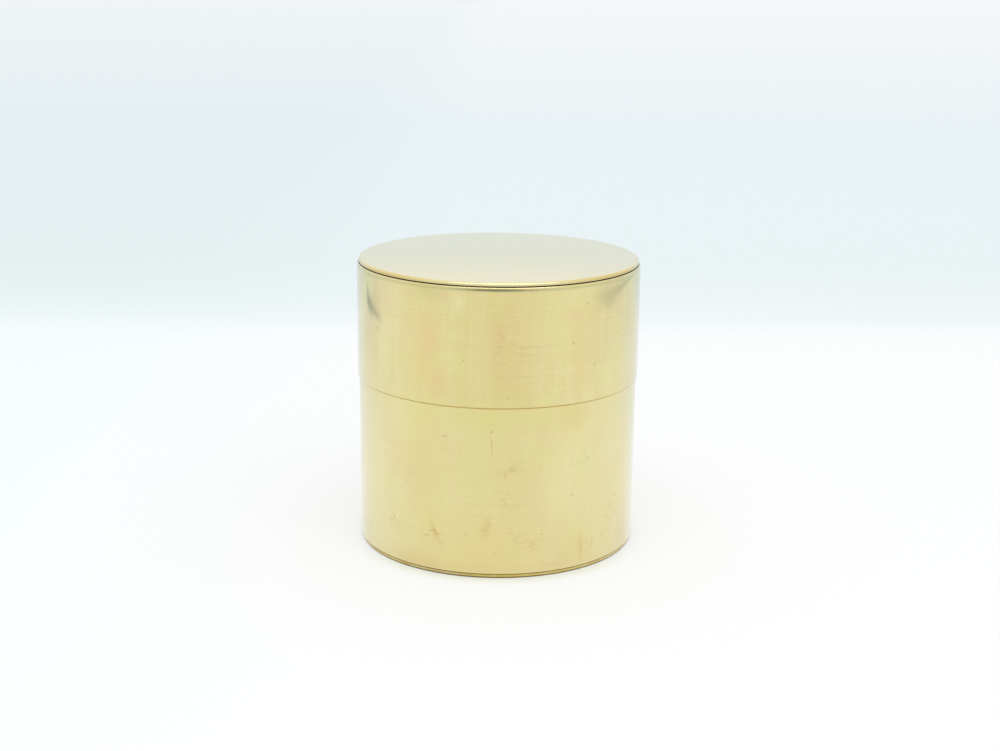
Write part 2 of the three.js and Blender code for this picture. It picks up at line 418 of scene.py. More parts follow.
brass = {
    "body": tone(233, 221, 165),
    "warm": tone(232, 212, 157),
    "green": tone(228, 222, 155),
    "pale": tone(239, 229, 184),
    "line": tone(204, 188, 124),
    "speck": tone(160, 132, 70),
    "edge": tone(235, 223, 168),  # painted reflection on the lid's rounding, paler in front and a deeper gold at the sides
    "edgeSide": tone(225, 204, 130),
    "edgeTurn": (12 * mm, 30 * mm),  # where front turns to side, across the tin
    # painted shade: the colour of the dark lines in grooves, along edges and at the foot
    "paintedShade": tone(40, 22, 2),
    "coatRough": 0.12,
    "specular": 0.2,
    "lineShare": 0.22,
    "grainShare": 0.22,
    "bandShare": 0.2,
    "streakShare": 0.26,
    "nickShare": 0.08,
    "raggedLeast": 0.35,  # factor on the squared distance from a mark where its noise is 0,
    "raggedMore": 1.3,  # and what is added to it where the noise is 1
    "shadeCore": 0.4,  # share of a painted shade line's reach that is darkest
    # distance towards the axis over which a painted shade line fades out
    "shadeFade": 0.4 * mm,
    "cloudRough": 0.08,  # added to the roughness
    "lineRough": 0.12,
    "wornRough": 0.25,
    "lineHeight": 0.8e-6,  # bump, in metres
    "grainHeight": 0.5e-6,
    "cloudHeight": 20e-6,
    "wornDepth": 1.5e-6,
}


# share of a mark at each point of a wall: exp(-q), q the squared distance from its middle in
# units of its half width and half height, along axes that lean, roughened by a noise
def markShare(start, stain, angle, z, radius, ragged):
    lean = math.radians(stain["lean"])
    across = angle * radius - math.radians(stain["angle"]) * radius
    above = z - stain["height"]
    u = (across * math.cos(lean) + above * math.sin(lean)) / stain["wide"]
    v = (above * math.cos(lean) - across * math.sin(lean)) / stain["tall"]
    near = (u * u + v * v) * (brass["raggedLeast"] + brass["raggedMore"] * ragged)
    return start.maths("EXPONENT", 0.0 - near) * stain["strength"]


# sheet brass: a mottled ground, rubbed bands and streaks, polishing lines and grain, then the
# piece's own marks, worn specks, a painted reflection on the gold edge and painted shade in grooves
# and at the foot; a clear coat lies on all but the painted shade
def brassSheet(name, look):
    material = bpy.data.materials.new(name)
    start = cleared(material)
    spot = start.node("ShaderNodeTexCoord", {}, {}, "Object").shifted(*look["shift"])
    x, y, z = start.node("ShaderNodeTexCoord", {}, {}, "Object").parts()
    radius = (x * x + y * y) ** 0.5
    along = radius - z  # runs across the polishing lines, on walls and on discs
    lines = start.drawnLines(x, y, along, slow=40, quick=2200, detail=3, rough=0.65)
    bands = start.drawnLines(x, y, along, slow=14, quick=300)
    streaks = spot.stretched(300, 300, 24).noise(scale=1, detail=4, rough=0.6)
    tall = spot.stretched(1, 1, 0.6)
    cloud = tall.noise(scale=70, detail=4, rough=0.55)
    drift = tall.shifted(0.31, 0.17, 0.05).noise(scale=110, detail=3, rough=0.6)
    grain = spot.noise(scale=2200, detail=3, rough=0.6)
    cells = {"Vector": spot, "Scale": 330.0, "Randomness": 1.0}
    gap = start.node("ShaderNodeTexVoronoi", {}, cells, "Distance")
    pick = start.node("ShaderNodeTexVoronoi", {}, cells, "Color").parts()[0]

    mottle = look["mottle"]
    colour = (cloud.rise(0.42, 0.66) * mottle).tint(look["body"], brass["warm"])
    colour = (drift.rise(0.46, 0.68) * mottle).tint(colour, brass["green"])
    rubbed = bands.rise(0.5, 0.8) * brass["bandShare"]
    rubbed = rubbed + streaks.rise(0.45, 0.7) * brass["streakShare"] * mottle
    colour = rubbed.tint(colour, brass["pale"])
    drawn = lines.rise(0.5, 0.75) * brass["lineShare"] * mottle
    drawn = drawn + grain.rise(0.5, 0.8) * brass["grainShare"]
    colour = drawn.tint(colour, brass["line"])
    wearAndShade = (1 - gap.rise(0.04, 0.1)) * pick.rise(0.88, 0.95) * look["specks"]

    if look["marks"]:
        angle = start.maths("ARCTAN2", x, 0.0 - y)
        ragged = spot.noise(scale=420, detail=3, rough=0.65)
        level = start.joined(angle * look["radius"] * 750, z * 2800, 0.5)
        scratch = level.noise(scale=1, detail=3, rough=0.7)
        nicks = scratch.rise(0.48, 0.66)
        wearAndShade = wearAndShade + nicks * cloud.rise(0.5, 0.7) * brass["nickShare"]
        for stain in look["marks"]:
            share = markShare(start, stain, angle, z, look["radius"], ragged)
            broken = share * (1 - stain["broken"] * (1 - nicks))
            colour = broken.tint(colour, stain["colour"])
    colour = wearAndShade.tint(colour, brass["speck"])

    # painted reflection: the lid's rounding is tinted paler in front and a deeper gold at the sides
    if "edge" in look:
        aside = start.maths("ABSOLUTE", x).rise(*brass["edgeTurn"])
        paintedRimReflection = aside.tint(brass["edge"], brass["edgeSide"])
        colour = radius.rise(*look["edge"]).tint(colour, paintedRimReflection)
    # painted shade: dark lines in grooves, along edges beside other parts and at the foot, without
    # the coat or the metal's shine; the same share also roughens and sinks the surface
    shadeShare = 0.0
    for line in look["paintedShade"]:
        off = start.maths("ABSOLUTE", z - line["height"])
        near = (1 - off.rise(brass["shadeCore"] * line["reach"], line["reach"])) * line["share"]
        shadeShare = shadeShare + near * radius.rise(line["outside"] - brass["shadeFade"], line["outside"])
    bright = 1 - shadeShare
    if look["paintedShade"]:
        colour = shadeShare.tint(colour, brass["paintedShade"])
        wearAndShade = wearAndShade + shadeShare

    rough = look["rough"] + brass["cloudRough"] * (cloud - 0.5)
    rough = rough + brass["lineRough"] * (lines - 0.5) + brass["wornRough"] * wearAndShade
    height = (lines - 0.5) * brass["lineHeight"] + (grain - 0.5) * brass["grainHeight"]
    height = height + (cloud - 0.5) * brass["cloudHeight"] - wearAndShade * brass["wornDepth"]
    coat = {
        "Coat Weight": bright,
        "Coat Roughness": brass["coatRough"],
        "Specular IOR Level": brass["specular"],
    }
    metalSurface(start, colour, rough, height, bright, coat)
    return material


# painted shade that runs round in a groove or along an edge: the height of its middle, its reach up
# and down, its share, and the distance from the axis beyond which it lies
def shadeLine(height, reach, share, outside):
    return {"height": height, "reach": reach * mm, "share": share, "outside": outside * mm}


# a mark on a wall: where its middle is, its half sizes, lean, colour, share, and how far it is
# broken into short level scratches
def mark(angle, height, wide, tall, lean, colour, strength, broken=0.0):
    return {
        "angle": angle,
        "height": height * mm,
        "wide": wide * mm,
        "tall": tall * mm,
        "lean": lean,
        "colour": colour,
        "strength": strength,
        "broken": broken,
    }


darkOlive = tone(138, 144, 98)
shade = tone(188, 184, 126)
tan = tone(214, 194, 142)
rust = tone(200, 158, 90)
blush = tone(228, 198, 146)
moss = tone(222, 219, 138)
orange = tone(208, 164, 84)
straw = tone(226, 205, 130)
amber = tone(205, 165, 30)
brown = tone(140, 112, 58)
umber = tone(58, 44, 8)


# a rolled tube's edges stand this far apart, and solder closes the slit
rolledSlit = 0.71 * mm


# plain sheet tube: inner edges and outer edges rounded
def tubeProfile(spec):
    radius, low, high = reachOf(spec["node"])
    inner = radius - spec["sheet"]
    soft, fine = spec["outerRound"], spec["innerRound"]
    return profileOf(
        arc(inner + fine, low + fine, fine, fine, 180, 270, 4),
        arc(radius - soft, low + soft, soft, soft, 270, 360),
        arc(radius - soft, high - soft, soft, soft, 0, 90),
        arc(inner + fine, high - fine, fine, fine, 90, 180, 4),
    )


# solder in a tube's joint: a rounded strip across the slit, carried up the height; X = -u width / 2,
# Y = sqrt(R squared - X squared), with R from the inner face, v = 0, to the outer one, v = 1, which
# is sunk by uneven (1 + lumps / 2), lumps being a long and a short sine wave
def solderStrip(name, spec, tube, material):
    radius = reachOf(tube["node"])[0]
    low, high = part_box(spec["node"])
    ends = 0.5 - 0.5 * np.cos(np.linspace(0, np.pi, spec["rows"]))
    z = low.z + (high.z - low.z) * ends
    lower = (tube["outerRound"], tube["outerRound"])
    upper = tube.get("shoulder", lower)
    outer = radius - edgeDrop(z - low.z, *lower) - edgeDrop(high.z - z, *upper)
    inner = np.full_like(z, radius - tube["sheet"])
    s = np.linspace(0, 2 * np.pi, spec["around"], endpoint=False)
    u = np.sign(np.cos(s)) * np.abs(np.cos(s)) ** spec["square"]
    v = 0.5 + 0.5 * np.sign(np.sin(s)) * np.abs(np.sin(s)) ** spec["square"]
    waves = np.sin(z * 2 * np.pi / spec["lump"])
    ripples = np.sin(z * 2 * np.pi / spec["ripple"] + 1)
    lumps = waves + spec["rippleShare"] * ripples
    sink = spec["uneven"] * (1 + lumps / 2)
    x = np.broadcast_to(u * (high.x - low.x) / 2, (len(z), len(s)))
    across = inner[:, None] + v * (outer - inner - sink)[:, None]
    points = np.stack((-x, np.sqrt(across**2 - x**2), z[:, None] + 0 * x), -1).reshape(-1, 3)
    index = np.arange(x.size).reshape(x.shape)
    faces = gridFaces(index, False, True) + [index[None, 0, ::-1], index[None, -1]]
    putPiece(name, spec["node"], points, faces, material)


# solder: dull grey with a skin of lighter and darker patches, brown where the flux ran out
solder = {
    "body": tone(206, 204, 193),
    "dark": tone(178, 175, 163),
    "flux": tone(178, 152, 98),
    "half": 0.35 * mm,  # half the strip's width
    "fluxFrom": 0.55,  # share of it at which the flux begins
    "rough": 0.36,
    "skinRough": 0.3,
    "edgeRough": 0.1,
    "skinHeight": 14e-6,  # bump, in metres
    "pitHeight": 4e-6,
}


def dullSolder(name, look):
    material = bpy.data.materials.new(name)
    start = cleared(material)
    spot = start.node("ShaderNodeTexCoord", {}, {}, "Object")
    x = spot.parts()[0]
    skin = spot.stretched(1, 1, 0.4).noise(scale=900, detail=4, rough=0.6)
    pits = spot.noise(scale=3600)
    patches = spot.noise(scale=260, detail=3)
    edge = start.maths("ABSOLUTE", x).rise(look["fluxFrom"] * look["half"], look["half"])
    colour = skin.rise(0.4, 0.7).tint(look["body"], look["dark"])
    colour = (edge * patches.rise(0.35, 0.6)).tint(colour, look["flux"])
    rough = look["rough"] + look["skinRough"] * skin + look["edgeRough"] * edge
    height = (skin - 0.5) * look["skinHeight"] + (pits - 0.5) * look["pitHeight"]
    metalSurface(start, colour, rough, height)
    return material


solderLine = dullSolder("dullSolder", solder)


# what all seams share
def seamSpec(node):
    return {
        "node": node,
        "rows": 97,
        "around": 40,
        "square": 0.35,  # the smaller, the squarer the strip's section
        "lump": 3.7 * mm,  # lengths of the two waves in its face
        "ripple": 1.3 * mm,
        "rippleShare": 0.6,
        "uneven": 0.02 * mm,
    }


# body wall and its seam

bodyWall = {
    "node": "body_wall",
    "sheet": 0.5 * mm,
    "outerRound": 0.15 * mm,
    "innerRound": 0.06 * mm,
    "slit": rolledSlit,
    "steps": 360,
}
bodyRadius, bodyFoot, bodyEnd = reachOf("body_wall")
bodyLook = {
    "shift": (0.0, 0.0, 0.0),  # moves the noise from one piece to the next
    "radius": bodyRadius,
    "body": tone(231, 221, 163),
    "rough": 0.2,
    "mottle": 0.5,
    "specks": 0.5,
    # painted shade along the wall's lower edge, by the groove above the base, and faintly along its
    # top edge, by the gap below the lid
    "paintedShade": (
        shadeLine(bodyFoot, 0.24, 0.55, 40.0),
        shadeLine(bodyEnd, 0.2, 0.1, 40.0),
    ),
    "marks": (
        mark(-4, 46.5, 26, 3.2, 0, moss, 0.4),  # greenish below the lid
        mark(-30, 33, 6, 24, 0, straw, 0.5),
        mark(31, 46, 6, 6, 0, straw, 0.55),
        mark(36, 7, 6, 6, 0, straw, 0.35),
        mark(-32, 2.5, 8, 3, 0, orange, 0.25),
        # painted reflection: darker low down at the tin's left and right
        mark(-67, 6, 5, 6, 0, shade, 0.2),
        mark(65, 6, 5, 6, 0, shade, 0.2),
        mark(-5, 5, 18, 15, 0, straw, 0.55),  # deeper in front, towards the base
        mark(-20.6, 40.5, 0.9, 0.16, 0, brown, 0.5),  # specks and scratches
        mark(-2.1, 42.6, 0.25, 0.25, 0, brown, 0.6),
        mark(-1.9, 38.6, 0.18, 2.4, 3, orange, 0.45),
        mark(5.0, 31.8, 3.2, 1.3, 20, blush, 0.25, 0.4),
        mark(5.2, 31.6, 3.8, 1.4, 14, brown, 0.27, 1.0),
        mark(3.4, 30.4, 0.5, 1.4, 0, orange, 0.3, 0.5),
        mark(2.3, 23.6, 2.4, 2.4, 0, brown, 0.22, 1.0),
        mark(36.0, 33.2, 4.2, 2.2, 12, brown, 0.21, 1.0),
        mark(53.5, 15.0, 2.4, 5.5, 0, rust, 0.38, 1.0),
        mark(-45.5, 12.4, 2.6, 2.0, 0, rust, 0.32, 1.0),
        mark(-45.3, 13.9, 0.2, 0.7, 35, brown, 0.45),
        mark(-24.6, 12.4, 0.6, 2.8, 28, orange, 0.75, 0.5),
        mark(-24.8, 12.4, 1.9, 3.2, 26, rust, 0.6, 0.9),
        mark(-29.1, 10.9, 0.22, 0.22, 0, brown, 0.6),
        mark(-27.7, 11.2, 0.2, 0.2, 0, brown, 0.6),
        mark(-4.3, 14.0, 1.3, 2.2, 0, orange, 0.5, 0.55),
        mark(-3.0, 16.6, 0.6, 1.8, 0, orange, 0.35, 0.6),
        mark(8.4, 11.6, 2.6, 1.4, 0, brown, 0.18, 1.0),
        mark(14.2, 9.2, 1.4, 1.4, 0, orange, 0.55, 0.8),
        mark(-11.9, 12.8, 0.2, 0.2, 0, brown, 0.5),
        mark(18.2, 12.6, 0.2, 0.2, 0, brown, 0.5),
        mark(35.9, 7.2, 0.7, 3.4, 0, orange, 0.28, 0.4),
        mark(36.2, 6.4, 0.35, 2.2, 4, orange, 0.26),
        mark(42.0, 7.0, 0.5, 1.3, 6, orange, 0.22),
        mark(31.1, 23.0, 0.2, 0.3, 0, brown, 0.5),
        mark(56.4, 19.0, 0.2, 0.3, 0, brown, 0.4),
        mark(0, 3.0, 45, 1.2, 0, blush, 0.3),  # rosy just above the base
        mark(0, bodyEnd / mm, 400, 0.25, 0, amber, 0.55),  # painted shade of the gap below the lid, a warm dark gold
    ),
}
turnedPiece("bodyWall", bodyWall, tubeProfile(bodyWall), brassSheet("bodyBrass", bodyLook))
solderStrip("bodySeam", seamSpec("body_seam"), bodyWall, solderLine)


# base plate

basePlate = {
    "node": "base_plate",
    "sheet": 0.5 * mm,
    "rimHeight": 1.25 * mm,
    "rimRound": 0.5 * mm,
    "rimSoft": 0.15 * mm,
    "collarInset": 0.9 * mm,
    "ring": 6 * mm,
    "dishSlope": 1.5 * mm,
    "dishDepth": 0.5 * mm,
    "dishRings": (11 * mm, 24 * mm),  # shallow turned lines in the dish
    "ringDepth": 0.12 * mm,
    "ringWidth": 0.45 * mm,
    "points": 161,
    "steps": 240,
}
baseLook = {
    "shift": (0.2, 0.1, 0.3),
    # a deeper, darker gold than the walls: painted reflection of the shaded floor at the foot
    "body": tone(212, 181, 72),
    "rough": 0.24,
    "mottle": 0.6,
    "specks": 0.6,
    "radius": reachOf("base_plate")[0],
    # painted shade in the groove below the wall, and on the rim's lower half a painted reflection of
    # the shaded floor at the foot
    "paintedShade": (
        shadeLine(basePlate["rimHeight"], 0.3, 0.5, 40.0),
        shadeLine(0.0, 0.75, 0.75, 39.6),
    ),
    "marks": (mark(-24, 0.6, 15, 3, 0, brown, 0.3),),  # browner in front on the left
}


# base: the dish eases down to the ring that the tin stands on, z = depth (1 - s s (3 - 2 s)) with s
# the share of the slope passed, and lines are pressed into it; then rim, collar and the upper side
def baseProfile(spec):
    rim, foot, top = reachOf(spec["node"])
    sheet, soft, bend = spec["sheet"], spec["rimSoft"], spec["rimRound"]
    collar = rim - spec["collarInset"]
    inner = collar - sheet
    ring = collar - spec["ring"]
    r = np.linspace(0, ring, spec["points"])
    s = np.clip((r - ring) / spec["dishSlope"] + 1, 0, 1)
    under = foot + spec["dishDepth"] * (1 - s * s * (3 - 2 * s))
    pressed = pressedLines(r, spec["dishRings"], spec["ringDepth"], spec["ringWidth"])
    dish = np.column_stack((r, under + pressed))
    return profileOf(
        dish,
        arc(rim - bend, foot + bend, bend, bend, 270, 360),
        arc(rim - soft, foot + spec["rimHeight"] - soft, soft, soft, 0, 90),
        (collar, foot + spec["rimHeight"]),
        arc(collar - soft, top - soft, soft, soft, 0, 90),
        arc(inner + soft, top - soft, soft, soft, 90, 180),
        arc(inner - soft, foot + sheet + soft, soft, soft, 0, -90),
        dish[::-1] + (0, sheet),
    )


turnedPiece("basePlate", basePlate, baseProfile(basePlate), brassSheet("baseBrass", baseLook))


# sleeve, its seam and the inner bottom, in tinned sheet

tinned = {
    "body": tone(212, 212, 207),
    "pale": tone(224, 225, 221),
    "grey": tone(194, 194, 189),
    "bend": 10 * mm,  # how far noise bends the crystals' edges
    "crystalShare": 0.5,
    "bloomShare": 0.6,
    # painted shade fades in over this height
    "shadeFade": 0.3 * mm,
    "rough": 0.3,
    "crystalRough": 0.12,
    "bloomRough": 0.15,
    "wipedRough": 0.1,
    "wipedHeight": 1.5e-6,  # bump, in metres
    "rubHeight": 1.2e-6,
    "bloomHeight": 12e-6,
}


# tinned sheet: large faint crystals, wiping marks along the sheet and fine rubbing lines, and
# painted shade above a given height
def tinnedSheet(name, look, shift, rubbed, shadeAbove=None):
    material = bpy.data.materials.new(name)
    start = cleared(material)
    spot = start.node("ShaderNodeTexCoord", {}, {}, "Object").shifted(*shift)
    x, y, z = start.node("ShaderNodeTexCoord", {}, {}, "Object").parts()
    radius = (x * x + y * y) ** 0.5
    bent = spot.noise(scale=60) * look["bend"]
    cells = {"Vector": start.joined(x + bent, y + bent, z), "Scale": 110.0}
    crystal = start.node("ShaderNodeTexVoronoi", {}, cells, "Color").parts()[0]
    wiped = start.drawnLines(x, y, radius - z, slow=40, quick=900, detail=3)
    rubs = spot.stretched(1500, 1500, 18).noise(scale=1, detail=3, rough=0.6)
    bloom = spot.noise(scale=130, detail=4, rough=0.6)
    colour = (crystal * look["crystalShare"]).tint(look["body"], look["pale"])
    colour = (bloom.rise(0.5, 0.75) * look["bloomShare"]).tint(colour, look["grey"])
    colour = (rubs.rise(0.58, 0.75) * rubbed).tint(colour, look["grey"])
    unshaded = 1.0
    # painted shade: the sheet goes dark above a given height, where it lies in a groove
    if shadeAbove:
        shadeShare = z.rise(shadeAbove - look["shadeFade"], shadeAbove)
        colour = shadeShare.tint(colour, brass["paintedShade"])
        unshaded = 1 - shadeShare
    rough = look["rough"] + look["crystalRough"] * (crystal - 0.5)
    rough = rough + look["bloomRough"] * (bloom - 0.5) + look["wipedRough"] * (wiped - 0.5)
    height = (wiped - 0.5) * look["wipedHeight"] + (rubs - 0.5) * look["rubHeight"]
    height = height + (bloom - 0.5) * look["bloomHeight"]
    metalSurface(start, colour, rough, height, unshaded)
    return material


innerSleeve = {
    "node": "inner_sleeve",
    "sheet": 0.4 * mm,
    "outerRound": 0.15 * mm,
    "innerRound": 0.12 * mm,
    "slit": rolledSlit,
    "steps": 360,
}
sleeveTin = tinnedSheet("sleeveTin", tinned, (0.0, 0.0, 0.0), 0.5)
turnedPiece("innerSleeve", innerSleeve, tubeProfile(innerSleeve), sleeveTin)
solderStrip("sleeveSeam", seamSpec("sleeve_seam"), innerSleeve, solderLine)

innerBottom = {"node": "inner_bottom", "round": 0.12 * mm, "steps": 240}


# disc with rounded edges
def bottomProfile(spec):
    radius, low, high = reachOf(spec["node"])
    soft = spec["round"]
    return profileOf(
        (0, low),
        arc(radius - soft, low + soft, soft, soft, 270, 360, 5),
        arc(radius - soft, high - soft, soft, soft, 0, 90, 5),
        (0, high),
    )


bottomTin = tinnedSheet("bottomTin", tinned, (0.1, 0.4, 0.2), 0.2)
turnedPiece("innerBottom", innerBottom, bottomProfile(innerBottom), bottomTin)


# inner lid: dish, knob and washer

innerLidPan = {
    "node": "inner_lid_pan",
    "sheet": 0.4 * mm,
    "wallInset": 0.45 * mm,
    "corner": 1.2 * mm,
    "hole": 1.6 * mm,
    "lines": (9 * mm, 30 * mm),  # pressed into its floor
    "lineDepth": 0.1 * mm,
    "lineWidth": 0.4 * mm,
    "points": 151,
    "steps": 240,
}
panLook = {
    "shift": (0.5, 0.2, 0.1),
    "body": brass["body"],
    "rough": 0.2,
    "mottle": 0.6,
    "specks": 0.4,
    "paintedShade": (),
    "marks": (),
}


# dish: floor with lines pressed in, round corner, wall and flange, outside first and then inside
def panProfile(spec):
    flange, low, high = reachOf(spec["node"])
    sheet, bend = spec["sheet"], spec["corner"]
    wall = flange - spec["wallInset"]
    inner = wall - sheet
    lip = min(sheet / 2, (flange - wall) / 2)
    r = np.linspace(spec["hole"], wall - bend, spec["points"])
    pressed = pressedLines(r, spec["lines"], spec["lineDepth"], spec["lineWidth"])
    floor = np.column_stack((r, low + pressed))
    return profileOf(
        floor,
        arc(wall - bend, low + bend, bend, bend, 270, 360, 16),
        (wall, high - sheet),
        arc(flange - lip, high - sheet / 2, lip, sheet / 2, -90, 90, 14),
        arc(inner + lip, high - lip, lip, lip, 90, 180),
        arc(wall - bend, low + bend, bend - sheet, bend - sheet, 0, -90, 16),
        floor[::-1] + (0, sheet),
    )


turnedPiece("innerLidPan", innerLidPan, panProfile(innerLidPan), brassSheet("panBrass", panLook))

turned = {
    "body": tone(226, 205, 132),
    "deep": tone(198, 166, 92),
    "pale": tone(240, 224, 164),
    "sunkShare": 0.8,
    "lineShare": 0.35,
    "rough": 0.16,
    "lineRough": 0.16,
    "cloudRough": 0.1,
    "sunkRough": 0.14,
    "lineHeight": 1.4e-6,  # bump, in metres
    "cloudHeight": 5e-6,
}


# turned brass: tool lines round the axis, and a deeper colour near it
def turnedBrass(name, look, hollow):
    material = bpy.data.materials.new(name)
    start = cleared(material)
    spot = start.node("ShaderNodeTexCoord", {}, {}, "Object")
    x, y, z = spot.parts()
    radius = (x * x + y * y) ** 0.5
    lines = start.drawnLines(x, y, radius - z, slow=60, quick=5200, detail=3, rough=0.6)
    cloud = spot.noise(scale=190, detail=4, rough=0.6)
    sunk = (1 - radius.rise(*hollow)) * (0.4 + 0.6 * cloud)
    colour = cloud.rise(0.45, 0.7).tint(look["body"], look["pale"])
    colour = (sunk * look["sunkShare"]).tint(colour, look["deep"])
    colour = (lines.rise(0.55, 0.8) * look["lineShare"]).tint(colour, look["deep"])
    rough = look["rough"] + look["lineRough"] * (lines - 0.5)
    rough = rough + look["cloudRough"] * (cloud - 0.5) + look["sunkRough"] * sunk
    height = (lines - 0.5) * look["lineHeight"] + (cloud - 0.5) * look["cloudHeight"]
    metalSurface(start, colour, rough, height)
    return material


innerLidKnob = {
    "node": "inner_lid_knob",
    "footRadius": 4.5 * mm,
    "footHeight": 0.9 * mm,
    "waistRadius": 2.8 * mm,
    "waistHeight": 4.5 * mm,
    "headHeight": 3.6 * mm,
    "headEdge": 0.9 * mm,
    "spigot": 1.5 * mm,
    "peen": 2.3 * mm,
    "peenHeight": 0.7 * mm,
    "peenFrom": -80,  # degrees, where the peened end's curve begins beside its flat middle
    "soft": 0.18 * mm,
    "line": 4.4 * mm,  # a fine line turned into the head
    "lineDepth": 0.09 * mm,
    "lineWidth": 0.22 * mm,
    "hollow": (2.9 * mm, 4.6 * mm),  # radii between which the deeper colour fades out
    "steps": 160,
}


# knob: peened spigot end, spigot, foot, waist of two quarter ellipses, and a domed head,
# z = edge + rise sqrt(1 - (r / R) squared), with a line turned into it
def knobProfile(spec):
    head, low, high = reachOf(spec["node"])
    foot, waist, soft = spec["footRadius"], spec["waistRadius"], spec["soft"]
    waistRise = spec["waistHeight"] / 2
    headFoot = high - spec["headHeight"]
    waistZ = headFoot - waistRise
    footZ = waistZ - waistRise - spec["footHeight"]
    peenTop = low + spec["peenHeight"]
    dome = spec["headHeight"] - spec["headEdge"]
    edgeZ = headFoot + spec["headEdge"]
    top = arc(0, edgeZ, head, dome, 0, 90, 72)
    top[-1] = (0, high)  # exactly on the axis
    cut = pressedLines(top[:, 0], [spec["line"]], spec["lineDepth"], spec["lineWidth"])
    return profileOf(
        (0, low),
        arc(0, peenTop, spec["peen"], spec["peenHeight"], spec["peenFrom"], 0, 16),
        (spec["spigot"], peenTop),
        (spec["spigot"], footZ),
        arc(foot - soft, footZ + soft, soft, soft, -90, 0, 5),
        arc(foot - soft, footZ + spec["footHeight"] - soft, soft, soft, 0, 90, 5),
        arc(foot - soft, waistZ, foot - soft - waist, waistRise, 270, 180, 20),
        arc(head - soft, waistZ, head - soft - waist, waistRise, 180, 90, 20),
        arc(head - soft, headFoot + soft, soft, soft, -90, 0, 5),
        top - np.column_stack((0 * cut, cut)),
    )


knobBrass = turnedBrass("knobBrass", turned, innerLidKnob["hollow"])
turnedPiece("innerLidKnob", innerLidKnob, knobProfile(innerLidKnob), knobBrass)

knobWasher = {
    "node": "knob_washer",
    "hole": 1.6 * mm,
    "soft": 0.12 * mm,
    "hollow": (1.7 * mm, 2.6 * mm),
    "steps": 120,
}


# flat ring with rounded edges
def washerProfile(spec):
    rim, low, high = reachOf(spec["node"])
    hole, soft = spec["hole"], spec["soft"]
    return profileOf(
        arc(hole + soft, low + soft, soft, soft, 180, 270, 5),
        arc(rim - soft, low + soft, soft, soft, 270, 360, 5),
        arc(rim - soft, high - soft, soft, soft, 0, 90, 5),
        arc(hole + soft, high - soft, soft, soft, 90, 180, 5),
    )


washerBrass = turnedBrass("washerBrass", turned, knobWasher["hollow"])
turnedPiece("knobWasher", knobWasher, washerProfile(knobWasher), washerBrass)


# lid wall, its seam, and the liner with its own

